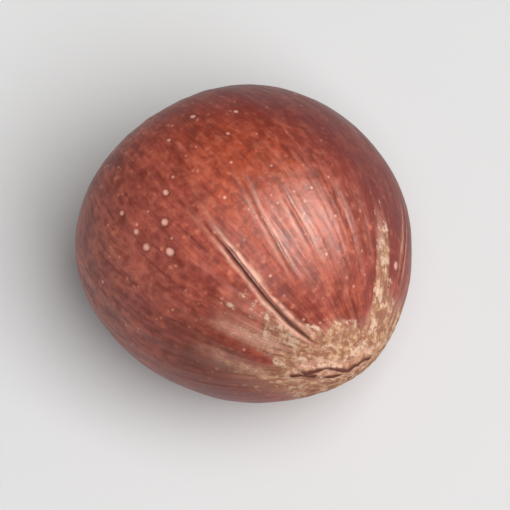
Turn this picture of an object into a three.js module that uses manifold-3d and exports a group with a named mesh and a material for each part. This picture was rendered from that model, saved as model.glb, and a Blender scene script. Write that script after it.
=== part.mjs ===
// A hazelnut in its closed shell, lying on its side on a small flat spot of the shell.
// Millimetres, +Z up. The origin is the middle of the flat spot. The pointed tip looks along +X, lifted a
// little off the level, and the blunt end with the base scar looks along -X.
import * as THREE from "three";
import { mergeVertices } from "three/addons/utils/BufferGeometryUtils.js";
import Module from "manifold-3d";

const radians = THREE.MathUtils.degToRad;

// Driving dimensions of the shell, measured from the centre of its widest cross-section.
const meanWidth = 21;
const tipReach = 12;
const baseReach = 9.4;
// How square the outline is: 2 is an ellipse, less is more conical, and more is fuller at the shoulder.
const tipFullness = 1.85;
const baseFullness = 2.2;
// The small point at the tip: its height, and how far it spreads from the long axis.
const pointHeight = 0.55;
const pointSpread = radians(15);
// The blunt end flattens towards this distance. A larger blend number makes a crisper shoulder.
const bluntReach = 8.6;
const bluntBlend = 9;
// The base scar, where the husk held the nut: its edge as an angle from the tip, the width of the edge, how deep
// the scar lies below the shell, and how proud of the shell the lip around it stands.
const scarEdge = radians(142);
const scarEdgeWidth = radians(3.6);
const scarDepth = 0.16;
const lipHeight = 0.1;
// The cross-section is a little oval and a little three-sided, as shares of its radius.
const ovalShare = 0.028;
const ovalTurn = radians(70);
const lobeShare = 0.01;
const lobeTurn = radians(20);
// The tip leans off the long axis by these shares of the length: downwards, and towards the back.
const leanDown = 0.07;
const leanBack = 0.06;
// How it lies: the tip is lifted off the level, and the flat spot takes this much off the roundness below.
const tipLift = radians(16.7);
const flatDepth = 0.35;
// How finely the shell is faceted around its long axis, and in rows from the tip to the middle of the scar.
// Each entry pairs a share of the rows with the angle from the tip it reaches: rows crowd at the scar's edge.
const facetsAround = 54;
const facetRows = 45;
const rowAngles = [
  [0, 0],
  [30 / facetRows, scarEdge - 2 * scarEdgeWidth],
  [38 / facetRows, scarEdge + scarEdgeWidth],
  [1, Math.PI],
];

const shellMaterial = new THREE.MeshStandardMaterial({
  color: new THREE.Color(0.36, 0.105, 0.065),
  roughness: 0.45,
  metalness: 0,
});

const wasm = await Module();
wasm.setup();

// Distance from the centre to the shell, at an angle from the tip: a superellipse whose reach and fullness
// change smoothly from base to tip, blended into the blunt end, with the small point and the scar added.
function outlineRadius(fromTip) {
  const along = Math.cos(fromTip);
  const across = Math.sin(fromTip);
  const reach = THREE.MathUtils.lerp(baseReach, tipReach, THREE.MathUtils.smoothstep(along, -0.35, 0.35));
  const fullness = THREE.MathUtils.lerp(baseFullness, tipFullness, THREE.MathUtils.smoothstep(along, -1, 1));
  const sum = Math.pow(across / (meanWidth / 2), fullness) + Math.pow(Math.abs(along) / reach, fullness);
  const round = Math.pow(sum, -1 / fullness);
  const blunt = Math.max(-along, 0) / bluntReach;
  const blended = Math.pow(Math.pow(round, -bluntBlend) + Math.pow(blunt, bluntBlend), -1 / bluntBlend);
  const point = pointHeight * Math.exp(-((fromTip / pointSpread) ** 2));
  const lip = lipHeight * Math.exp(-(((fromTip - scarEdge + scarEdgeWidth) / scarEdgeWidth) ** 2));
  const halfEdge = scarEdgeWidth / 2;
  const scar = scarDepth * THREE.MathUtils.smoothstep(fromTip, scarEdge - halfEdge, scarEdge + halfEdge);
  return blended + point + lip - scar;
}

// How much wider or narrower the cross-section is at an angle around the long axis, 0 at the top of the nut.
function crossSection(around) {
  return 1 + ovalShare * Math.cos(2 * (around - ovalTurn)) + lobeShare * Math.cos(3 * (around - lobeTurn));
}

// The angle from the tip of a row of facets, given as a share of all the rows.
function rowAngle(share) {
  const band = rowAngles.findIndex(([end]) => share <= end + 1e-6);
  const [endShare, endAngle] = rowAngles[Math.max(band, 1)];
  const [startShare, startAngle] = rowAngles[Math.max(band, 1) - 1];
  return THREE.MathUtils.mapLinear(share, startShare, endShare, startAngle, endAngle);
}

// The whole shell about its centre: a sphere whose pole is moved to the tip and every point out to the outline.
// Its Y axis runs to the tip, its X axis to the top of the lying nut, and its Z axis to the back.
function shellGeometry() {
  const shell = new THREE.SphereGeometry(1, facetsAround, facetRows);
  const points = shell.getAttribute("position");
  for (let i = 0; i < points.count; i++) {
    const fromTip = rowAngle(Math.acos(THREE.MathUtils.clamp(points.getY(i), -1, 1)) / Math.PI);
    const around = Math.atan2(-points.getZ(i), points.getX(i));
    const radius = outlineRadius(fromTip);
    const length = radius * Math.cos(fromTip);
    const outward = radius * Math.sin(fromTip) * crossSection(around);
    const up = outward * Math.cos(around) - leanDown * length;
    const back = -outward * Math.sin(around) + leanBack * length;
    points.setXYZ(i, up, length, back);
  }
  return shell;
}

// Turns the shell so that its tip looks along +X, lifted by tipLift, and sets its lowest point below zero by
// the depth of the flat spot.
function layDown(shell) {
  const top = new THREE.Vector3(-Math.sin(tipLift), 0, Math.cos(tipLift));
  const tip = new THREE.Vector3(Math.cos(tipLift), 0, Math.sin(tipLift));
  const back = new THREE.Vector3(0, 1, 0);
  shell.applyMatrix4(new THREE.Matrix4().makeBasis(top, tip, back));
  shell.computeBoundingBox();
  return shell.translate(0, 0, -flatDepth - shell.boundingBox.min.z);
}

function solidFrom(geometry) {
  const bare = new THREE.BufferGeometry();
  bare.setAttribute("position", geometry.getAttribute("position").clone());
  bare.setIndex(geometry.getIndex());
  const merged = mergeVertices(bare, 1e-4);
  return new wasm.Manifold(
    new wasm.Mesh({
      numProp: 3,
      vertProperties: new Float32Array(merged.getAttribute("position").array),
      triVerts: new Uint32Array(merged.getIndex().array),
    }),
  );
}

function geometryFrom(solid) {
  const mesh = solid.getMesh();
  const geometry = new THREE.BufferGeometry();
  geometry.setAttribute("position", new THREE.BufferAttribute(new Float32Array(mesh.vertProperties), 3));
  geometry.setIndex(new THREE.BufferAttribute(new Uint32Array(mesh.triVerts), 1));
  return geometry;
}

// Cuts off what is below zero, which leaves the flat spot, and moves the middle of that spot to the origin.
function cutFlatSpot(shell) {
  const side = 3 * meanWidth;
  const below = new THREE.BoxGeometry(side, side, meanWidth).translate(0, 0, -meanWidth / 2);
  const cut = geometryFrom(solidFrom(shell).subtract(solidFrom(below)));
  const points = cut.getAttribute("position");
  const spot = new THREE.Box2();
  for (let i = 0; i < points.count; i++) {
    if (Math.abs(points.getZ(i)) < 1e-4) {
      spot.expandByPoint(new THREE.Vector2(points.getX(i), points.getY(i)));
    }
  }
  const middle = spot.getCenter(new THREE.Vector2());
  cut.translate(-middle.x, -middle.y, 0);
  cut.computeVertexNormals();
  return cut;
}

const hazelnut = new THREE.Mesh(cutFlatSpot(layDown(shellGeometry())), shellMaterial);
hazelnut.name = "hazelnut";

const part = new THREE.Group();
part.add(hazelnut);

export default part;
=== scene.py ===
"""A hazelnut in its closed shell, lying on a pale floor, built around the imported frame.

The shell is one surface: a formula of two angles gives its smooth form, and ribs, cracks, the felted tip and
the rough base scar stand on it or are sunk into it. Lengths are in metres and angles in radians, apart from
the tables and the marks, which say their own units.
"""

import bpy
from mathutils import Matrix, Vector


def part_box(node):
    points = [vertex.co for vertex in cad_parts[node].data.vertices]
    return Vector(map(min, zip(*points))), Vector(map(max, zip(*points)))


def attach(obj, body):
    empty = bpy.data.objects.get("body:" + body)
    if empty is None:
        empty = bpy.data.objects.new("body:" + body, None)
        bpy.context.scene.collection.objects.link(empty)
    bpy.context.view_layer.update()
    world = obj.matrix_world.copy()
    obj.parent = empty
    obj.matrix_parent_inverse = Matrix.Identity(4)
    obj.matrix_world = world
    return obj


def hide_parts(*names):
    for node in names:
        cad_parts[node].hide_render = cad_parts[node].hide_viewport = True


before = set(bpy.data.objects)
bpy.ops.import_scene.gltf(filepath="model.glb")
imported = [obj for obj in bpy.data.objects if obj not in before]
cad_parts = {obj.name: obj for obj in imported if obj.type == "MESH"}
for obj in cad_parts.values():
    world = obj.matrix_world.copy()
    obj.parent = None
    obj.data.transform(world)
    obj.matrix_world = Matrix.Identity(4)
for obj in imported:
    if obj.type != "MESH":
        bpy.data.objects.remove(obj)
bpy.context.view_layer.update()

from math import cos, pi, radians, sin
from types import SimpleNamespace

import bpy
import numpy as np
from bpy.props import FloatProperty, FloatVectorProperty, IntProperty, PointerProperty
from mathutils import Vector

bl_info = {
    "name": "Hazelnut",
    "version": (1, 0, 0),
    "blender": (4, 5, 0),
    "location": "3D View > Sidebar > Hazelnut",
    "description": "Builds a hazelnut in its closed shell, and the floor, lights and camera around it",
    "category": "Add Mesh",
}

MM = 0.001
LIGHT_DISTANCE = 0.6  # from the nut to each light
FLOOR_REACH = 6.0  # from the middle of the floor to its sides
SENSOR_WIDTH = 36.0  # of the camera, in millimetres, like its lens

# Where the shell is marked. Each point is (angle from the tip, angle around from the top), in degrees. Each
# mark has its points and its strength at them, half its width, its depth and the height of its two crests,
# all three in millimetres, how dark it is inside, and, if felt is worn off along it, by how many
# millimetres.
CRACKS = {
    "long crack": dict(
        path=[
            (88, 14), (79, 16), (70, 17.5), (60, 18.5), (52, 20),
            (44, 22), (37, 24), (30, 26), (23, 27.5), (18, 28),
        ],  # fmt: skip
        strength=[0.0, 0.1, 0.35, 0.9, 1.0, 1.0, 1.0, 1.0, 0.9, 0.1],
        half_width=0.135,
        depth=0.26,
        crest=0.055,
        darkness=1.0,
    ),
    "low furrow": dict(
        path=[(54, 56), (45, 56), (39, 57), (33, 58.5), (28, 61), (22, 63)],
        strength=[0.0, 0.8, 1.0, 1.0, 0.9, 0.1],
        half_width=0.5,
        depth=0.17,
        crest=0.02,
        # This darkness is painted shade in the shallow valley.
        darkness=0.34,
        bare=3.0,
    ),
    "tip slit": dict(
        path=[(20, 60), (16.5, 68), (14, 64), (11, 57), (8, 59), (4, 68), (1.5, 20), (3, -80), (6, -96)],
        strength=[0.1, 1.0, 1.0, 0.7, 1.0, 1.0, 0.8, 0.9, 0.1],
        half_width=0.22,
        depth=0.25,
        crest=0.03,
        darkness=1.0,
    ),
    "nick below the slit": dict(
        path=[(13, 80), (10, 81), (7, 84), (5, 96)],
        strength=[0.0, 1.0, 0.9, 0.0],
        half_width=0.23,
        depth=0.18,
        crest=0.02,
        darkness=0.95,
    ),
    "nick beside the slit": dict(
        path=[(23, 70), (20, 73), (17, 72), (14, 75), (12, 72)],
        strength=[0.0, 1.0, 0.8, 1.0, 0.0],
        half_width=0.29,
        depth=0.22,
        crest=0.02,
        darkness=1.0,
    ),
    "fine line above": dict(
        path=[(84, -5), (77, -4), (68, -1.5), (60, 0.5), (52, 2), (45, 3.5), (37, 6)],
        strength=[0.0, 0.5, 0.9, 1.0, 1.0, 0.7, 0.0],
        half_width=0.12,
        depth=0.08,
        crest=0.022,
        darkness=0.75,
    ),
    "second fine line": dict(
        path=[(70, -14), (63, -12.5), (56, -12), (50, -11.5), (44, -11), (37, -10)],
        strength=[0.0, 0.7, 1.0, 0.9, 0.5, 0.0],
        half_width=0.11,
        depth=0.06,
        crest=0.02,
        darkness=0.4,
    ),
    "seam underneath": dict(
        path=[(118, 204), (95, 201), (70, 198), (48, 195), (28, 190), (16, 186)],
        strength=[0.0, 0.5, 0.8, 1.0, 1.0, 0.3],
        half_width=0.16,
        depth=0.13,
        crest=0.05,
        darkness=0.8,
    ),
    "short crack at the back": dict(
        path=[(62, 276), (50, 279), (38, 281), (29, 280)],
        strength=[0.0, 0.8, 1.0, 0.2],
        half_width=0.13,
        depth=0.12,
        crest=0.04,
        darkness=0.9,
    ),
}

# The felt at the tip: (angle around the nut, how far down from the tip it is solid, how far down its last
# strands reach), in degrees.
FELT = [
    (-180, 22, 30), (-160, 28, 38), (-142, 22, 29), (-125, 27, 35), (-104, 23, 30), (-89, 20, 26),
    (-75, 19, 25), (-66, 21, 29), (-63, 31, 44), (-60.5, 42, 53), (-55, 42, 53), (-52, 32, 46),
    (-50, 22, 30), (-46, 17, 21), (-38, 14, 18), (-31, 13.5, 17), (-15, 14, 18), (-6, 17, 20),
    (4, 18, 22), (14, 18, 22), (20, 19, 26), (25, 19, 44), (29, 23, 52), (34, 25, 53),
    (42, 28, 52), (50, 30, 50), (58, 28, 48), (64, 33, 54), (70, 36, 54), (78, 30, 47),
    (88, 24, 38), (98, 21, 30), (110, 20, 28), (122, 20, 28), (136, 27, 37), (150, 20, 28),
    (164, 25, 34), (180, 22, 30),
]  # fmt: skip

# A crest as high as this, in millimetres, is pale all along.
PALE_CREST = 0.05

# How far inside the felt, in millimetres, its solid part begins, and how far outside its last strands end.
FELT_FULL, FELT_GONE = 0.7, 1.3

# How far outside the scar's edge the middle of its lip is, and how far along the shell one radian takes you
# there, in millimetres.
LIP_OUTSIDE = 0.45
SCAR_PER_RADIAN = 9.8

# Pale corky dots: (angle from the tip, angle around, radius in millimetres).
PALE_DOTS = [
    (91, 20, 0.22), (99, 37, 0.2), (83.5, 27.5, 0.27), (89.5, 37.5, 0.22), (83, 39, 0.27), (75, 34, 0.3),
    (33.5, -72, 0.3), (112, -8, 0.2), (104, -22, 0.18), (96, -12, 0.17), (108, 6, 0.16), (98, 212, 0.24),
    (88, 221, 0.2), (104, 228, 0.22), (92, 150, 0.2), (80, 262, 0.2), (110, 300, 0.22), (101, 291, 0.2),
]  # fmt: skip
DOT_HEIGHT = 0.05 * MM

# How strongly the rows of the mesh crowd towards the tip and the base, and its columns towards the side
# where the fine marks are.
ROW_CROWDING = 0.3
COLUMN_CROWDING = 0.38
MARKED_SIDE = radians(25)

# Small pale spots: cells a metre, waves a metre in their outlines, and how far those waves reach.
SPOT_CELLS = 1250.0
SPOT_WAVES = 3000.0
SPOT_WAVE_REACH = 0.4 * MM


# The lattice of random values behind the lumps: its size, and a shift that keeps places on it above 0.
LATTICE = 32
LATTICE_SHIFT = 1000


def colour(name, description, value):
    """One colour setting, as linear red, green and blue."""
    return FloatVectorProperty(
        name=name, description=description, default=value, subtype="COLOR", size=3, min=0, max=1
    )


def length(name, description, millimetres):
    """One length setting, in metres."""
    return FloatProperty(
        name=name,
        description=description,
        default=millimetres * MM,
        min=0,
        precision=5,
        subtype="DISTANCE",
        unit="LENGTH",
    )


def width(name, description, metres):
    """One size of a light, in metres."""
    return FloatProperty(
        name=name, description=description, default=metres, min=0, subtype="DISTANCE", unit="LENGTH"
    )


def direction(name, description, value):
    """One direction, as a vector that points from the nut to the light."""
    return FloatVectorProperty(
        name=name, description=description, default=value, subtype="DIRECTION", size=3
    )


def angle(name, description, degrees):
    """One angle setting, shown in degrees."""
    return FloatProperty(
        name=name, description=description, default=radians(degrees), subtype="ANGLE", unit="ROTATION"
    )


def number(name, description, value, low=0.0, high=100.0):
    """One plain number."""
    return FloatProperty(name=name, description=description, default=value, min=low, max=high)


class HazelnutForm(bpy.types.PropertyGroup):
    """Sizes of the shell. The smooth form repeats the solid part's own formula."""

    mean_width: length("Mean width", "Across the nut where it is widest", 21)
    tip_reach: length("Tip reach", "From the widest section to the tip", 12)
    base_reach: length("Base reach", "From the widest section to the base, before the base is blunted", 9.4)
    tip_fullness: number("Tip fullness", "2 is an ellipse, less is more conical", 1.85)
    base_fullness: number("Base fullness", "2 is an ellipse, more is squarer", 2.2)
    point_height: length("Point height", "How far the small point stands out of the tip", 0.55)
    point_spread: angle("Point spread", "How far the point spreads from the long axis", 15)
    blunt_reach: length("Blunt reach", "Where the flattened base lies", 8.6)
    blunt_blend: number("Blunt blend", "A larger number makes a crisper shoulder", 9)
    oval_share: number("Oval share", "How oval the cross-section is", 0.028)
    oval_turn: angle("Oval turn", "Which way the oval lies", 70)
    lobe_share: number("Lobe share", "How three-sided the cross-section is", 0.01)
    lobe_turn: angle("Lobe turn", "Which way the three sides lie", 20)
    lean_down: number("Lean down", "How far the tip leans down, as a share of the length", 0.07)
    lean_back: number("Lean back", "How far the tip leans to the back, as a share of the length", 0.06)
    tip_lift: angle("Tip lift", "How far the long axis is lifted at the tip", 16.7)
    scar_edge: angle("Scar edge", "Where the base scar begins, from the tip", 143.3)
    scar_scallop: angle("Scar scallop", "How far the scar's edge wanders", 1.3)
    scar_depth: length("Scar depth", "How far the scar lies below the shell", 0.16)
    lip_height: length("Lip height", "How proud the lip round the scar stands", 0.08)
    lip_width: length("Lip width", "Half the width of the lip round the scar", 0.36)
    rib_height: length("Rib height", "Height of the long low ribs of the shell", 0.022)
    unevenness: length("Unevenness", "Broad lumps and hollows of the shell", 0.07)
    felt_height: length("Felt height", "Height of the matted fibres at the tip", 0.05)
    scar_grain: length("Scar grain", "Height of the rough grain of the scar", 0.085)
    columns: IntProperty(name="Columns", description="Facets around the nut", default=420, min=24, max=480)
    rows: IntProperty(name="Rows", description="Facets from tip to base", default=236, min=16, max=400)


class HazelnutFinish(bpy.types.PropertyGroup):
    """Colours and gloss of the shell."""

    # Warm brown is laid partly as painted light on top of the nut, deep red as painted shade towards the
    # base and down the sides, and mauve partly as painted reflection on the front. The light streak colour
    # also paints a rim light at the front edge, and the crack colour paints shade round the low furrow.
    red_brown: colour("Red brown", "The shell's main colour", (0.36, 0.046, 0.026))
    warm_brown: colour("Warm brown", "The lighter, more orange side", (0.48, 0.063, 0.013))
    deep_red: colour("Deep red", "The darker red near the base", (0.17, 0.017, 0.013))
    mauve: colour("Mauve bloom", "The dull greyish side", (0.335, 0.094, 0.077))
    dark_streak: colour("Dark streak", "Thin dark lines along the shell", (0.14, 0.022, 0.014))
    light_streak: colour("Light streak", "Thin light lines along the shell", (0.62, 0.178, 0.104))
    bright_fleck: colour("Bright fleck", "Small bright flecks of the shell", (0.6, 0.13, 0.07))
    felt: colour("Felt", "Matted fibres at the tip", (0.64, 0.38, 0.21))
    felt_light: colour("Felt light", "The palest tufts of the felt", (0.82, 0.57, 0.42))
    felt_shade: colour("Felt shade", "Between the fibres", (0.31, 0.12, 0.065))
    crack: colour("Crack", "Inside the cracks", (0.11, 0.026, 0.014))
    crest: colour("Crest", "The raised edges of the cracks", (0.74, 0.4, 0.29))
    scar: colour("Scar", "The rough base scar", (0.68, 0.385, 0.2))
    scar_shade: colour("Scar shade", "The pits of the base scar", (0.25, 0.12, 0.062))
    lip: colour("Lip", "The pale rim round the scar", (0.6, 0.36, 0.27))
    dot: colour("Dot", "Small corky dots", (0.8, 0.42, 0.33))
    gloss: number("Shell roughness", "Lower is glossier", 0.36, 0, 1)
    dull: number("Felt roughness", "Of the felt and the scar", 0.88, 0, 1)


class StageSettings(bpy.types.PropertyGroup):
    """The floor, the lights and the camera."""

    floor_colour: colour("Floor", "Colour of the floor", (0.68, 0.68, 0.68))
    air_colour: colour("Surrounding light", "Colour of the light from all round", (1.0, 1.0, 1.0))
    air_strength: number("Surrounding strength", "Strength of the light from all round", 0.14)
    main_power: number("Main light", "Power in watts", 4.7)
    main_size: width("Main light size", "Across the main light", 0.5)
    main_from: direction("Main light from", "Direction of the main light", (0.351, 0.115, 0.929))
    sheen_power: number("Sheen light", "Power in watts of the light that only makes the gloss", 10.8)
    sheen_size: width("Sheen light size", "Across the sheen light", 0.24)
    sheen_from: direction("Sheen light from", "Direction of the sheen light", (0.292, 0.654, 0.698))
    sheen_colour: colour("Sheen light colour", "Colour of the sheen light", (1.0, 0.92, 0.84))
    camera_azimuth: angle("Camera azimuth", "0 looks along +Y, 90 looks along -X", 53.6)
    camera_elevation: angle("Camera elevation", "Above the floor", 74)
    camera_share: number("Share of the picture", "How much of its width the nut takes", 0.64, 0.1, 1)
    lens: number("Lens", "Focal length in millimetres", 400, 20, 1000)


def direction_at(azimuth, elevation):
    """Unit vector from the nut towards a point at that azimuth and elevation."""
    return Vector((sin(azimuth) * cos(elevation), -cos(azimuth) * cos(elevation), sin(elevation)))


def ease(value, low=0.0, high=1.0):
    """Smooth step: 0 below low, 1 above high, and 3t^2 - 2t^3 between them."""
    t = np.clip((value - low) / (high - low), 0, 1)
    return t * t * (3 - 2 * t)


def bell(value, spread):
    """exp(-(value / spread)^2)."""
    return np.exp(-((value / spread) ** 2))


def lumps(points, cell, seed, octaves=1):
    """Soft random lumps between -1 and 1: random values on a lattice of the given cell, joined with the
    smooth step along all three axes. Each further octave has half the cell and half the height."""
    total, height, weight = 0.0, 0.0, 1.0
    for octave in range(octaves):
        table = np.random.default_rng(seed + octave).random((LATTICE, LATTICE, LATTICE)) * 2 - 1
        scaled = points * (2**octave / cell) + LATTICE_SHIFT
        base = np.floor(scaled).astype(int)
        blend = ease(scaled - base)
        value = 0.0
        for corner in np.ndindex(2, 2, 2):
            index = (base + corner) % LATTICE
            share = np.prod(np.where(corner, blend, 1 - blend), axis=-1)
            value = value + share * table[index[..., 0], index[..., 1], index[..., 2]]
        total = total + value * weight
        height += weight
        weight /= 2
    return total / height


def ribs(around, down, seed, fewest, most, terms=22):
    """Long ridges that run from tip to base: a sum of cosines of whole multiples of the angle around, each
    turned a little further as it goes down the nut, divided by the square root of half their number."""
    draw = np.random.default_rng(seed)
    total = 0.0
    for count in draw.integers(fewest, most, terms):
        turn, drift = draw.uniform(0, 2 * pi), draw.normal(0, 0.9)
        total = total + np.cos(count * around + turn + drift * down)
    return total / np.sqrt(terms / 2)


def smooth_shell(form, from_tip, around):
    """The shell's smooth form. The distance from the centre at an angle from the tip is a superellipse,
    whose reach and fullness change smoothly from base to tip, blended with a flat base and raised at the
    point. The cross-section is that distance with a two-sided and a three-sided swell. The tip leans a
    little, and the long axis is lifted."""
    along, across = np.cos(from_tip), np.abs(np.sin(from_tip))
    reach = form.base_reach + (form.tip_reach - form.base_reach) * ease(along, -0.35, 0.35)
    fullness = form.base_fullness + (form.tip_fullness - form.base_fullness) * ease(along, -1, 1)
    power = (across / (form.mean_width / 2)) ** fullness + (np.abs(along) / reach) ** fullness
    rounded = power ** (-1 / fullness)
    blunt = np.maximum(-along, 0) / form.blunt_reach
    radius = (rounded**-form.blunt_blend + blunt**form.blunt_blend) ** (-1 / form.blunt_blend)
    radius = radius + form.point_height * bell(from_tip, form.point_spread)
    swell = 1 + form.oval_share * np.cos(2 * (around - form.oval_turn))
    swell = swell + form.lobe_share * np.cos(3 * (around - form.lobe_turn))
    axial = radius * along
    outward = radius * across * swell
    up = outward * np.cos(around) - form.lean_down * axial
    back = -outward * np.sin(around) + form.lean_back * axial
    lift = form.tip_lift
    return np.stack([axial * cos(lift) - up * sin(lift), back, axial * sin(lift) + up * cos(lift)], axis=-1)


def outward_normals(points):
    """Unit normals of a closed ring grid: the cross product of the steps along and around."""
    along = np.gradient(points, axis=0)
    around = np.roll(points, -1, axis=1) - np.roll(points, 1, axis=1)
    normal = np.cross(around, along)
    return normal / np.linalg.norm(normal, axis=-1, keepdims=True)


def nearest_on_path(points, path, strength):
    """How far every point is from a path of straight pieces, and the strength at the nearest place on it."""
    best = np.full(points.shape[:-1], np.inf)
    here = np.zeros(points.shape[:-1])
    for start, end, first, last in zip(path[:-1], path[1:], strength[:-1], strength[1:]):
        step = end - start
        share = np.clip(((points - start) @ step) / (step @ step), 0, 1)
        away = np.linalg.norm(points - (start + share[..., None] * step), axis=-1)
        here = np.where(away < best, first + (last - first) * share, here)
        best = np.minimum(best, away)
    return best, here


def finer_path(form, path, strength, steps=6):
    """The places of a path on the smooth shell, with more points between those given."""
    coarse = np.arange(len(path))
    fine = np.linspace(0, len(path) - 1, steps * (len(path) - 1) + 1)
    from_tip = np.radians(np.interp(fine, coarse, [p[0] for p in path]))
    turns = np.unwrap(np.radians([p[1] for p in path]))
    around = np.interp(fine, coarse, turns)
    return smooth_shell(form, from_tip, around), np.interp(fine, coarse, strength)


def felt_inside(form, from_tip, around):
    """How far inside the felt each point is, in millimetres: FELT_FULL where its solid part ends, minus
    FELT_GONE where its last strands end, a straight line between the two, and the way along the shell
    beyond them."""
    turn = np.degrees(np.angle(np.exp(1j * around)))
    table = np.array(FELT)
    solid, last = (np.radians(np.interp(turn, table[:, 0], table[:, column])) for column in (1, 2))
    per_radian = form.mean_width / 2 / MM
    inside, outside = (solid - from_tip) * per_radian, (from_tip - last) * per_radian
    between = FELT_FULL - (FELT_FULL + FELT_GONE) * (from_tip - solid) / (last - solid)
    return np.where(inside > 0, FELT_FULL + inside, np.where(outside > 0, -FELT_GONE - outside, between))


def scar_inside(form, from_tip, around):
    """How far inside the scar's wandering edge each point is, in millimetres."""
    wander = ribs(around, 0 * around, seed=41, fewest=3, most=17, terms=9)
    wander = wander + 0.5 * ribs(around, 0 * around, seed=42, fewest=18, most=60, terms=14)
    edge = form.scar_edge + form.scar_scallop * 0.5 * wander
    return (from_tip - edge) * SCAR_PER_RADIAN


def dots_near(form, points):
    """How near each point is to a pale dot: 1 at its middle, a half at its radius, 0 at twice its radius."""
    dots = 0.0
    for tip_angle, turn_angle, radius in PALE_DOTS:
        middle = smooth_shell(form, np.radians(tip_angle), np.radians(turn_angle))
        away = np.linalg.norm(points - middle, axis=-1)
        dots = np.maximum(dots, np.clip(1 - away / (2 * radius * MM), 0, 1))
    return dots


def shell_marks(form, points, from_tip, around):
    """What is drawn on the shell, as one value for each point: how dark the cracks and how pale their
    crests are, how deep they are sunk, how far inside the felt and inside the scar it is, and the pale
    dots. A crack is a bell of the distance from its path, and its crests are a bell of the distance from a
    line at each side."""
    crack, crest, sunk, bare = 0.0, 0.0, 0.0, 0.0
    waver = lumps(points, cell=0.9 * MM, seed=61, octaves=2)
    broken = lumps(points, cell=0.6 * MM, seed=63, octaves=2)
    for mark in CRACKS.values():
        path, strength = finer_path(form, mark["path"], mark["strength"])
        away, here = nearest_on_path(points, path, strength)
        half = mark["half_width"] * MM * (1 + 0.3 * waver)
        groove = bell(away, half) * here
        side = bell(away - 2.5 * half, half) * here * (1 + 0.5 * broken)
        crack = np.maximum(crack, groove * mark["darkness"])
        crest = np.maximum(crest, side * min(1.0, mark["crest"] / PALE_CREST))
        sunk = sunk + (mark["depth"] * groove - mark["crest"] * side) * MM
        bare = bare + mark.get("bare", 0.0) * groove
    felt = felt_inside(form, from_tip, around) - bare
    scar = scar_inside(form, from_tip, around)
    return dict(crack=crack, crest=crest, sunk=sunk, felt=felt, scar=scar, dots=dots_near(form, points))


def shell_tint(finish, points, from_tip, around):
    """The broad colours of the shell: the main red brown, with warm patches on top, partly painted light
    where the light falls most, deep red ones towards the base and down the sides, painted shade, a dull
    mauve one on the front, partly the shell's greyish bloom and partly painted reflection, a pale one near
    its edge, a painted rim light, a small pale one near the tip, and random patches of the first three, the
    shell's own tone. Each patch is a bell of the angle from its middle. Also the share of painted shade in
    and beside the low furrow."""
    facing = np.stack(
        [np.cos(from_tip), np.sin(from_tip) * np.cos(around), np.sin(from_tip) * np.sin(around)], axis=-1
    )

    def patch(tip_angle, turn_angle, spread):
        a, b = np.radians(tip_angle), np.radians(turn_angle)
        middle = np.array([np.cos(a), np.sin(a) * np.cos(b), np.sin(a) * np.sin(b)])
        return bell(np.degrees(np.arccos(np.clip(facing @ middle, -1, 1))), spread)

    drift = lumps(points, cell=6 * MM, seed=7, octaves=3)
    other = lumps(points, cell=7.5 * MM, seed=17, octaves=3)
    # The two warm patches on top are partly painted light, lighter where the light falls most; the random
    # part is the shell's own tone.
    warm = 0.95 * patch(90, -12, 26) + 0.85 * patch(57, -6, 27) + 0.45 * ease(drift, 0.1, 0.9)
    # Painted shade: the deep red patches darken the nut's top, sides and lower edge where light falls least;
    # only the random part is the shell's own tone.
    deep = 0.95 * patch(122, -45, 42) + patch(62, -84, 32) + 0.9 * patch(92, -78, 36)
    deep = deep + 0.8 * patch(60, 114, 34) + 0.4 * ease(other, 0.1, 0.8)
    # The mauve patch on the front is partly the shell's greyish bloom and partly painted reflection and fill
    # light; the random part underneath is the shell's own tone.
    mauve = patch(92, 64, 52) + 0.7 * ease(-drift, 0.15, 0.8) * patch(90, 180, 80)
    # Painted light: the pale patch near the front edge is a painted rim light; the second is a small pale
    # patch near the tip.
    bloom = 0.3 * patch(104, 74, 24) + 0.17 * patch(34, -14, 18)
    # Painted shade: darker in and beside the low furrow, and on the felt next to it.
    painted_furrow_shade = 0.55 * patch(50, 68, 20) + 0.3 * patch(48, 98, 24) + 0.3 * patch(28, 38, 8)
    tint = np.broadcast_to(np.array(finish.red_brown), points.shape)
    for share, target in (
        (warm, finish.warm_brown),
        (deep, finish.deep_red),
        (mauve, finish.mauve),
        (bloom, finish.light_streak),
    ):
        tint = tint + np.clip(share, 0, 1)[..., None] * (np.array(target) - tint)
    return tint, painted_furrow_shade


def closed_mesh(name, rings, tip, base):
    """A mesh from rings of points, closed by a fan at each pole. Rings run from the tip to the base, and the
    faces point outwards."""
    count, size = rings.shape[:2]
    vertices = np.concatenate([rings.reshape(-1, 3), [tip, base]])
    here = np.arange(size)
    after = (here + 1) % size
    row = (np.arange(count - 1) * size)[:, None]
    quads = np.stack([row + here, row + size + here, row + size + after, row + after], axis=-1)
    quads = quads.reshape(-1, 4)
    top = np.stack([np.full(size, count * size), here, after], axis=-1)
    last = (count - 1) * size
    bottom = np.stack([np.full(size, count * size + 1), last + after, last + here], axis=-1)
    mesh = bpy.data.meshes.new(name)
    mesh.vertices.add(len(vertices))
    mesh.vertices.foreach_set("co", vertices.ravel())
    corners = np.concatenate([quads.ravel(), top.ravel(), bottom.ravel()])
    sizes = np.concatenate([np.full(len(quads), 4), np.full(2 * size, 3)])
    mesh.loops.add(len(corners))
    mesh.loops.foreach_set("vertex_index", corners)
    mesh.polygons.add(len(sizes))
    mesh.polygons.foreach_set("loop_start", np.concatenate([[0], np.cumsum(sizes)[:-1]]))
    mesh.polygons.foreach_set("use_smooth", np.ones(len(sizes), dtype=bool))
    mesh.update(calc_edges=True)
    mesh.validate()
    return mesh


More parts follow.
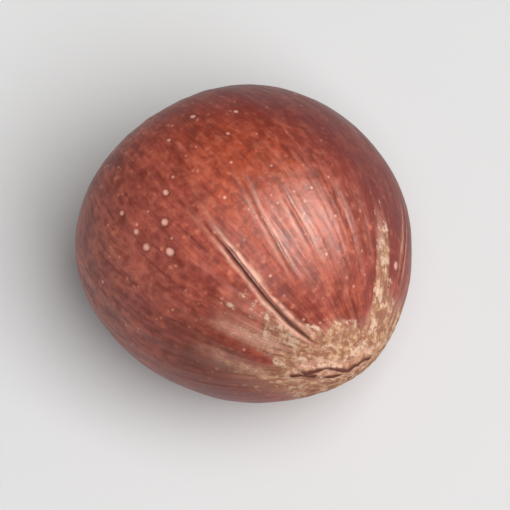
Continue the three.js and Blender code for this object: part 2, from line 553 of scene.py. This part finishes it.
def add_attribute(mesh, name, values):
    """One value or one vector for each point. The poles take the mean of the ring next to them."""
    ends = np.stack([values[0].mean(axis=0), values[-1].mean(axis=0)])
    flat = np.concatenate([values.reshape(-1, *values.shape[2:]), ends]).astype(np.float32)
    if flat.ndim == 1:
        mesh.attributes.new(name, "FLOAT", "POINT").data.foreach_set("value", flat)
    else:
        mesh.attributes.new(name, "FLOAT_VECTOR", "POINT").data.foreach_set("vector", flat.ravel())


class Wiring:
    """Adds nodes to a material. A value may be a number, a colour or another node's output."""

    def __init__(self, name):
        self.material = bpy.data.materials.new(name)
        self.material.use_nodes = True
        self.tree = self.material.node_tree
        self.tree.nodes.clear()

    def node(self, kind, inputs=None, **settings):
        """A new node with these settings and inputs."""
        made = self.tree.nodes.new(kind)
        for key, value in settings.items():
            setattr(made, key, value)
        for key, value in (inputs or {}).items():
            self.put(made.inputs[key], value)
        return made

    def put(self, socket, value):
        """Links an output to a socket, or sets the socket."""
        if isinstance(value, bpy.types.NodeSocket):
            self.tree.links.new(value, socket)
        elif socket.type == "RGBA":
            socket.default_value = (*value, 1.0)
        else:
            socket.default_value = value

    def math(self, operation, first, second=0.0, third=0.0):
        """One sum on up to three values."""
        made = self.node("ShaderNodeMath", operation=operation)
        for socket, value in zip(made.inputs, (first, second, third)):
            self.put(socket, value)
        return made.outputs[0]

    def step(self, value, low, high, start=0.0, end=1.0):
        """start below low, end above high, and a smooth step between them."""
        made = self.node("ShaderNodeMapRange", interpolation_type="SMOOTHSTEP")
        for socket, number_in in zip(made.inputs, (value, low, high, start, end)):
            self.put(socket, number_in)
        return made.outputs[0]

    def mix(self, share, first, second):
        """The second colour laid over the first, by that share."""
        made = self.node("ShaderNodeMix", data_type="RGBA", clamp_factor=True)
        self.put(made.inputs[0], share)
        self.put(made.inputs[6], first)
        self.put(made.inputs[7], second)
        return made.outputs[2]

    def layered(self, base, layers):
        """Colours laid over a base in turn. Each has its pattern, the pattern's value where it begins and
        where it is full, its full share, and the colour."""
        for pattern, begins, full, share, over in layers:
            base = self.mix(self.step(pattern, begins, full, 0.0, share), base, over)
        return base

    def blend(self, share, first, second):
        """A number between two others, by that share."""
        made = self.node("ShaderNodeMix", data_type="FLOAT", clamp_factor=True)
        for index, value in ((0, share), (2, first), (3, second)):
            self.put(made.inputs[index], value)
        return made.outputs[0]

    def attribute(self, name, output="Fac"):
        """A value that the mesh holds at each point."""
        return self.node("ShaderNodeAttribute", attribute_name=name).outputs[output]

    def noise(self, vector, scale, detail, roughness):
        """Soft noise, with so many lumps in each unit of the vector."""
        made = self.node("ShaderNodeTexNoise", {"Vector": vector, "Scale": scale})
        made.inputs["Detail"].default_value = detail
        made.inputs["Roughness"].default_value = roughness
        return made.outputs[0]

    def part(self, vector, index):
        """One of the three numbers of a vector or a colour."""
        return self.node("ShaderNodeSeparateXYZ", {"Vector": vector}).outputs[index]

    def stretched(self, vector, factors):
        """The vector with its three numbers multiplied by the factors."""
        made = self.node("ShaderNodeVectorMath", operation="MULTIPLY")
        self.put(made.inputs[0], vector)
        made.inputs[1].default_value = factors
        return made.outputs[0]


def shell_patterns(w):
    """What the layers of the material share. From the mesh: the vector along the shell, the tint and the
    marks. Streaks are noise on the vector along the shell, stretched by so many lumps a radian around and a
    centimetre down. Spots are noise in space, with so many lumps a metre."""
    run = w.attribute("run", "Vector")
    place = w.node("ShaderNodeTexCoord").outputs["Object"]
    return SimpleNamespace(
        run=run,
        place=place,
        tint=w.attribute("tint", "Vector"),
        # Painted shade round the low furrow.
        painted_furrow_shade=w.attribute("painted_furrow_shade"),
        crack=w.attribute("crack"),
        crest=w.attribute("crest"),
        dots=w.attribute("dots"),
        felt_in=w.attribute("felt"),
        scar_in=w.attribute("scar"),
        broad=w.noise(w.stretched(run, (5.0, 5.0, 0.9)), 1.0, 3.0, 0.6),
        streak=w.noise(w.stretched(run, (13.0, 13.0, 1.5)), 1.0, 4.0, 0.62),
        dash=w.noise(w.stretched(run, (20.0, 20.0, 7.0)), 1.0, 3.0, 0.6),
        thread=w.noise(w.stretched(run, (34.0, 34.0, 3.4)), 1.0, 3.0, 0.6),
        blotch=w.noise(place, 760.0, 3.0, 0.6),
        clump=w.noise(place, 1050.0, 3.0, 0.6),
        mottle=w.noise(place, 1700.0, 2.0, 0.55),
        fleck=w.noise(place, 2100.0, 4.0, 0.7),
        grain=w.noise(place, 3400.0, 3.0, 0.65),
    )


def shell_spots(w, p):
    """Two sizes of small pale spots, as the share of each at a place. A spot is the middle of a cell, and
    only some cells have one. The larger spots have wavy edges."""
    cells = w.node("ShaderNodeTexVoronoi", {"Vector": p.place, "Scale": SPOT_CELLS})
    chosen = w.step(w.part(cells.outputs["Color"], 0), 0.35, 0.75)
    dust = w.math("MULTIPLY", w.step(cells.outputs["Distance"], 0.19, 0.06), chosen)

    wobble = w.node("ShaderNodeTexNoise", {"Vector": p.place, "Scale": SPOT_WAVES}).outputs["Color"]
    wavy = w.node("ShaderNodeVectorMath", operation="MULTIPLY_ADD")
    w.put(wavy.inputs[0], wobble)
    wavy.inputs[1].default_value = (SPOT_WAVE_REACH, SPOT_WAVE_REACH, SPOT_WAVE_REACH)
    w.put(wavy.inputs[2], p.place)
    cells = w.node("ShaderNodeTexVoronoi", {"Vector": wavy.outputs[0], "Scale": SPOT_CELLS})
    chosen = w.step(w.part(cells.outputs["Color"], 1), 0.3, 0.6)
    freckles = w.math("MULTIPLY", w.step(cells.outputs["Distance"], 0.3, 0.05), chosen)
    return dust, w.math("MULTIPLY", freckles, w.step(p.mottle, 0.36, 0.6, 0.35, 1.0))


def streaked_shell(w, finish, p):
    """The colour of the bare shell: the tint with streaks, blotches and spots over it."""
    dust, freckles = shell_spots(w, p)
    layers = [
        (p.broad, 0.48, 0.78, 0.22, finish.light_streak),
        (p.broad, 0.5, 0.25, 0.4, finish.dark_streak),
        (p.streak, 0.53, 0.76, 0.5, finish.light_streak),
        (p.streak, 0.48, 0.24, 0.55, finish.dark_streak),
        (p.thread, 0.5, 0.3, 0.6, finish.dark_streak),
        (p.thread, 0.57, 0.8, 0.4, finish.light_streak),
        (p.dash, 0.5, 0.3, 0.45, finish.dark_streak),
        (p.dash, 0.52, 0.72, 0.4, finish.light_streak),
        (p.mottle, 0.52, 0.32, 0.42, finish.dark_streak),
        (p.mottle, 0.53, 0.7, 0.34, finish.light_streak),
        (p.blotch, 0.5, 0.34, 0.4, finish.dark_streak),
        (p.blotch, 0.53, 0.7, 0.34, finish.bright_fleck),
    ]
    base = w.layered(p.tint, layers)
    base = w.mix(w.math("MULTIPLY", freckles, 0.85), base, finish.light_streak)
    # Dust and streaks fade where the tint is darkest red, mostly in the painted shade of the deep red
    # patches.
    dusty = w.step(w.part(p.tint, 0), 0.34, 0.46, 0.55, 1.0)
    base = w.mix(w.math("MULTIPLY", dust, dusty), base, finish.dot)
    return w.mix(w.step(w.part(p.tint, 0), 0.34, 0.2, 0.0, 0.55), base, p.tint)


def felt_layer(w, finish, p):
    """The felt at the tip: where it covers the shell, its colour, and how high its tufts stand. It frays
    along the shell and in clumps, it is worn off in patches near its edge, and it is matted every way at
    the tip itself."""
    fray = w.noise(w.stretched(p.run, (12.0, 12.0, 1.1)), 1.0, 4.0, 0.72)
    ragged = p.felt_in
    for pattern, reach in ((fray, 6.5), (p.clump, 3.8), (p.fleck, 4.0)):
        ragged = w.math("MULTIPLY_ADD", w.math("SUBTRACT", pattern, 0.5), reach, ragged)
    worn = w.step(w.noise(w.stretched(p.run, (7.0, 7.0, 4.5)), 1.0, 3.0, 0.7), 0.46, 0.32, 0.0, 0.8)
    worn = w.math("MULTIPLY", worn, w.step(p.felt_in, 3.5, 1.2))
    covers = w.math("MULTIPLY", w.step(ragged, -0.5, 0.7, 0.0, 0.95), w.math("SUBTRACT", 1.0, worn))

    tuft = w.noise(w.stretched(p.run, (15.0, 15.0, 3.6)), 1.0, 4.0, 0.75)
    tufts = w.blend(w.step(w.part(p.run, 2), 0.1, 0.5, 0.15, 0.6), p.fleck, tuft)
    layers = [
        (tufts, 0.39, 0.61, 1.0, finish.felt),
        (p.clump, 0.5, 0.38, 0.85, finish.felt_shade),
        (p.clump, 0.52, 0.64, 0.7, finish.felt_light),
        (p.grain, 0.5, 0.34, 0.8, finish.felt_shade),
        (p.blotch, 0.5, 0.36, 0.22, finish.felt_shade),
    ]
    felt = w.layered(finish.felt_shade, layers)
    return covers, felt, tufts


def scar_layer(w, finish, p, base):
    """The base scar laid over the colour so far: a dull bloom on the shell near it, a pale lip, a dark
    border with teeth, and the rough fibres inside. Also where it covers the shell, and how high its fibres
    stand."""
    teeth = w.noise(w.stretched(p.run, (30.0, 30.0, 0.8)), 1.0, 4.0, 0.75)
    inside = w.math("MULTIPLY_ADD", w.math("SUBTRACT", teeth, 0.5), 3.4, p.scar_in)
    covers = w.step(inside, -0.15, 0.2)
    fibre = w.noise(w.stretched(p.run, (15.0, 15.0, 9.0)), 1.0, 4.0, 0.75)
    fibres = w.blend(w.step(p.scar_in, 4.8, 1.0, 0.1, 0.65), p.fleck, fibre)
    scar = w.mix(w.step(fibres, 0.38, 0.58), finish.scar_shade, finish.scar)
    scar = w.mix(w.step(p.grain, 0.48, 0.34, 0.0, 0.6), scar, finish.scar_shade)
    lip = w.step(w.math("ABSOLUTE", w.math("ADD", p.scar_in, LIP_OUTSIDE)), 0.42, 0.1)
    border = w.step(w.math("ABSOLUTE", inside), 0.2, 0.03, 0.0, 0.75)
    base = w.mix(w.step(p.scar_in, -3.2, -0.3, 0.0, 0.55), base, finish.mauve)
    base = w.mix(w.math("MULTIPLY", lip, w.step(p.thread, 0.35, 0.6, 0.25, 0.6)), base, finish.lip)
    base = w.mix(covers, base, scar)
    return w.mix(border, base, finish.crack), covers, fibres


def satin_shell(finish):
    """The shell's material: the streaked shell, a thin bloom of felt, the felt, painted shade round the low
    furrow, the scar, the crests of the cracks, the corky dots and the cracks, each laid over the one before
    it. Felt and scar are dull, and the bare shell has a satin gloss."""
    w = Wiring("Satin hazelnut shell")
    p = shell_patterns(w)
    felted, felt, tufts = felt_layer(w, finish, p)
    thin = w.math("MULTIPLY", w.step(p.felt_in, -2.0, 0.6, 0.0, 0.42), w.step(p.streak, 0.36, 0.6, 0.3, 1.0))
    base = w.mix(thin, streaked_shell(w, finish, p), finish.crest)
    base = w.mix(felted, base, felt)
    # Painted shade in and beside the low furrow, laid in the colour of the cracks.
    base = w.mix(p.painted_furrow_shade, base, finish.crack)
    base, scarred, fibres = scar_layer(w, finish, p, base)
    base = w.mix(w.math("MULTIPLY", p.crest, w.step(p.clump, 0.34, 0.54, 0.35, 0.95)), base, finish.crest)
    dotted = w.math("MULTIPLY_ADD", w.math("SUBTRACT", p.fleck, 0.5), 0.4, p.dots)
    base = w.mix(w.step(dotted, 0.2, 0.42, 0.0, 0.35), base, finish.dark_streak)
    base = w.mix(w.step(dotted, 0.4, 0.8, 0.0, 0.9), base, finish.dot)
    base = w.mix(w.step(p.crack, 0.3, 0.8), base, finish.crack)

    matt = w.math("MAXIMUM", felted, scarred)
    worn = w.math("ADD", w.step(p.streak, 0.35, 0.7, 0.0, 0.1), w.step(p.mottle, 0.35, 0.7, 0.0, 0.06))
    roughness = w.blend(matt, w.math("ADD", worn, finish.gloss), finish.dull)

    height = w.math("MULTIPLY", p.streak, 0.5)
    height = w.math("MULTIPLY_ADD", p.thread, 0.3, height)
    height = w.math("MULTIPLY_ADD", p.mottle, 0.4, height)
    height = w.math("MULTIPLY_ADD", p.blotch, 0.5, height)
    height = w.math("MULTIPLY_ADD", w.math("MULTIPLY", p.grain, matt), 0.7, height)
    height = w.math("MULTIPLY_ADD", w.math("MULTIPLY", tufts, felted), 0.8, height)
    height = w.math("MULTIPLY_ADD", w.math("MULTIPLY", fibres, scarred), 1.2, height)
    relief = w.node("ShaderNodeBump", {"Strength": 0.55, "Distance": 0.12 * MM, "Height": height})

    shader = w.node("ShaderNodeBsdfPrincipled", {"Base Color": base, "Roughness": roughness})
    shader.inputs["Specular IOR Level"].default_value = 0.24
    shader.inputs["IOR"].default_value = 1.5
    w.put(shader.inputs["Normal"], relief.outputs[0])
    w.node("ShaderNodeOutputMaterial", {"Surface": shader.outputs[0]})
    return w.material


def add_object(name, data):
    """A new object at the origin, in the scene."""
    made = bpy.data.objects.new(name, data)
    bpy.context.scene.collection.objects.link(made)
    return made


class HAZELNUT_OT_shell(bpy.types.Operator):
    """Build the shell: the smooth form with its ribs, cracks, felted tip and rough scar"""

    bl_idname = "hazelnut.shell"
    bl_label = "Hazelnut shell"
    bl_options = {"REGISTER", "UNDO"}

    def execute(self, context):
        form, finish = context.scene.hazelnut_form, context.scene.hazelnut_finish
        # Rows crowd at the two ends and columns on top, where the fine marks are.
        v = np.linspace(0, 1, form.rows + 2)[1:-1, None]
        u = np.linspace(0, 2 * pi, form.columns, endpoint=False)[None, :]
        from_tip = pi * (v - ROW_CROWDING * np.sin(2 * pi * v) / (2 * pi)) + 0 * u
        around = u - COLUMN_CROWDING * np.sin(u - MARKED_SIDE) + 0 * v
        points = smooth_shell(form, from_tip, around)
        normal = outward_normals(points)
        down = from_tip * form.mean_width / 2 / MM / 10  # in centimetres
        marks = shell_marks(form, points, from_tip, around)

        bare = ease(from_tip, radians(4), radians(30)) * (1 - 0.6 * ease(from_tip, radians(55), radians(95)))
        bare = bare * (1 - ease(marks["scar"], -1.5, 0.0))
        in_felt = ease(marks["felt"], -1.0, 1.5)
        in_scar = ease(marks["scar"], -0.18, 0.18)
        relief = form.unevenness * lumps(points, 5 * MM, 3, 2)
        relief = relief + form.rib_height * bare * (
            0.75 * ribs(around, down, 11, 9, 34) + 0.25 * ribs(around, down, 12, 40, 95)
        )
        open_out = ease(from_tip, radians(8), radians(30))
        tufts = ribs(around, down, 21, 40, 90) * 0.35 * open_out + lumps(points, 0.35 * MM, 22, 2)
        relief = relief + form.felt_height * in_felt * tufts
        relief = relief + form.lip_height * bell(marks["scar"] + LIP_OUTSIDE, form.lip_width / MM)
        fibres = ribs(around, down, 31, 30, 80) * 0.35 * ease(marks["scar"], 5.5, 0.5)
        pits = lumps(points, 0.55 * MM, 32, 3) + 0.8 * lumps(points, 1.7 * MM, 33, 2)
        relief = relief + in_scar * (form.scar_grain * (fibres + 0.6 * pits) - form.scar_depth)
        relief = relief + DOT_HEIGHT * ease(marks["dots"], 0.3, 0.7) - marks["sunk"]

        # The solid part gives the place: the smooth form has the same high X side, middle in Y and top.
        low, high = (np.array(corner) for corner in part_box("hazelnut"))
        smooth_low, smooth_high = points.min(axis=(0, 1)), points.max(axis=(0, 1))
        shift = np.array(
            [
                high[0] - smooth_high[0],
                (low[1] + high[1] - smooth_low[1] - smooth_high[1]) / 2,
                high[2] - smooth_high[2],
            ]
        )
        built = points + normal * relief[..., None] + shift
        built[..., 2] = np.maximum(built[..., 2], low[2])
        tip = built[0].mean(axis=0) + normal[0].mean(axis=0) * 0.01 * MM
        base = built[-1].mean(axis=0)

        mesh = closed_mesh("hazelnut_shell", built, tip, base)
        add_attribute(mesh, "run", np.stack([np.cos(around), np.sin(around), down], axis=-1))
        # The tint holds painted light and shade as well as the shell's own colours, and the next value is
        # painted shade round the low furrow.
        tint, painted_furrow_shade = shell_tint(finish, points, from_tip, around)
        add_attribute(mesh, "tint", tint)
        add_attribute(mesh, "painted_furrow_shade", painted_furrow_shade)
        for name in ("crack", "crest", "felt", "scar", "dots"):
            add_attribute(mesh, name, marks[name])
        mesh.materials.append(satin_shell(finish))
        shell = add_object("hazelnut_shell", mesh)
        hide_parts("hazelnut")
        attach(shell, "root")
        return {"FINISHED"}


class HAZELNUT_OT_stage(bpy.types.Operator):
    """Build the floor, the lights, the surrounding light and the camera"""

    bl_idname = "hazelnut.stage"
    bl_label = "Stage"
    bl_options = {"REGISTER", "UNDO"}

    def execute(self, context):
        settings = context.scene.hazelnut_stage
        low, high = (np.array(corner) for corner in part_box("hazelnut"))
        middle = Vector((low + high) / 2)

        sides = ((-1, -1), (1, -1), (1, 1), (-1, 1))
        corners = [(x * FLOOR_REACH, y * FLOOR_REACH, low[2]) for x, y in sides]
        mesh = bpy.data.meshes.new("floor")
        mesh.from_pydata(corners, [], [(0, 1, 2, 3)])
        w = Wiring("Pale floor")
        shader = w.node("ShaderNodeBsdfPrincipled", {"Base Color": settings.floor_colour})
        shader.inputs["Roughness"].default_value = 0.9
        shader.inputs["Specular IOR Level"].default_value = 0.2
        w.node("ShaderNodeOutputMaterial", {"Surface": shader.outputs[0]})
        mesh.materials.append(w.material)
        add_object("floor", mesh)

        world = bpy.data.worlds.new("Soft surrounding light")
        world.use_nodes = True
        background = world.node_tree.nodes["Background"]
        background.inputs[0].default_value = (*settings.air_colour, 1)
        background.inputs[1].default_value = settings.air_strength
        context.scene.world = world

        self.soft_light("main_light", middle, settings.main_from, settings.main_size, settings.main_power)
        # The sheen light makes only gloss.
        sheen_from, sheen_size = settings.sheen_from, settings.sheen_size
        sheen = self.soft_light("sheen_light", middle, sheen_from, sheen_size, settings.sheen_power)
        sheen.data.color = settings.sheen_colour
        sheen.visible_diffuse = False

        camera = bpy.data.cameras.new("camera")
        camera.lens = settings.lens
        camera.sensor_width = SENSOR_WIDTH
        nut_length = high[0] - low[0]
        distance = nut_length / settings.camera_share * settings.lens / camera.sensor_width
        camera.clip_start, camera.clip_end = 0.01, 20
        holder = add_object("camera", camera)
        back = direction_at(settings.camera_azimuth, settings.camera_elevation)
        holder.location = middle + back * distance
        holder.rotation_euler = (-back).to_track_quat("-Z", "Y").to_euler()
        context.scene.camera = holder
        context.scene.view_settings.view_transform = "Standard"
        return {"FINISHED"}

    def soft_light(self, name, target, direction, size, power):
        """A square light that looks at the target from that direction."""
        light = bpy.data.lights.new(name, "AREA")
        light.energy, light.size = power, size
        holder = add_object(name, light)
        away = Vector(direction).normalized()
        holder.location = target + away * LIGHT_DISTANCE
        holder.rotation_euler = (-away).to_track_quat("-Z", "Y").to_euler()
        return holder


class HAZELNUT_PT_panel(bpy.types.Panel):
    """Lists the settings and the operators"""

    bl_label = "Hazelnut"
    bl_idname = "HAZELNUT_PT_panel"
    bl_space_type = "VIEW_3D"
    bl_region_type = "UI"
    bl_category = "Hazelnut"

    def draw(self, context):
        for operator, group in (("shell", "form"), ("shell", "finish"), ("stage", "stage")):
            box = self.layout.box()
            box.operator("hazelnut." + operator)
            settings = getattr(context.scene, "hazelnut_" + group)
            for name in settings.bl_rna.properties.keys():
                if name not in {"rna_type", "name"}:
                    box.prop(settings, name)


CLASSES = (
    HazelnutForm,
    HazelnutFinish,
    StageSettings,
    HAZELNUT_OT_shell,
    HAZELNUT_OT_stage,
    HAZELNUT_PT_panel,
)


def register():
    """Adds the settings, the operators and the panel."""
    for each in CLASSES:
        bpy.utils.register_class(each)
    bpy.types.Scene.hazelnut_form = PointerProperty(type=HazelnutForm)
    bpy.types.Scene.hazelnut_finish = PointerProperty(type=HazelnutFinish)
    bpy.types.Scene.hazelnut_stage = PointerProperty(type=StageSettings)


def unregister():
    """Takes them away again."""
    del bpy.types.Scene.hazelnut_stage
    del bpy.types.Scene.hazelnut_finish
    del bpy.types.Scene.hazelnut_form
    for each in reversed(CLASSES):
        bpy.utils.unregister_class(each)


def main():
    """Builds everything."""
    register()
    bpy.ops.hazelnut.shell()
    bpy.ops.hazelnut.stage()


if __name__ == "__main__":
    main()
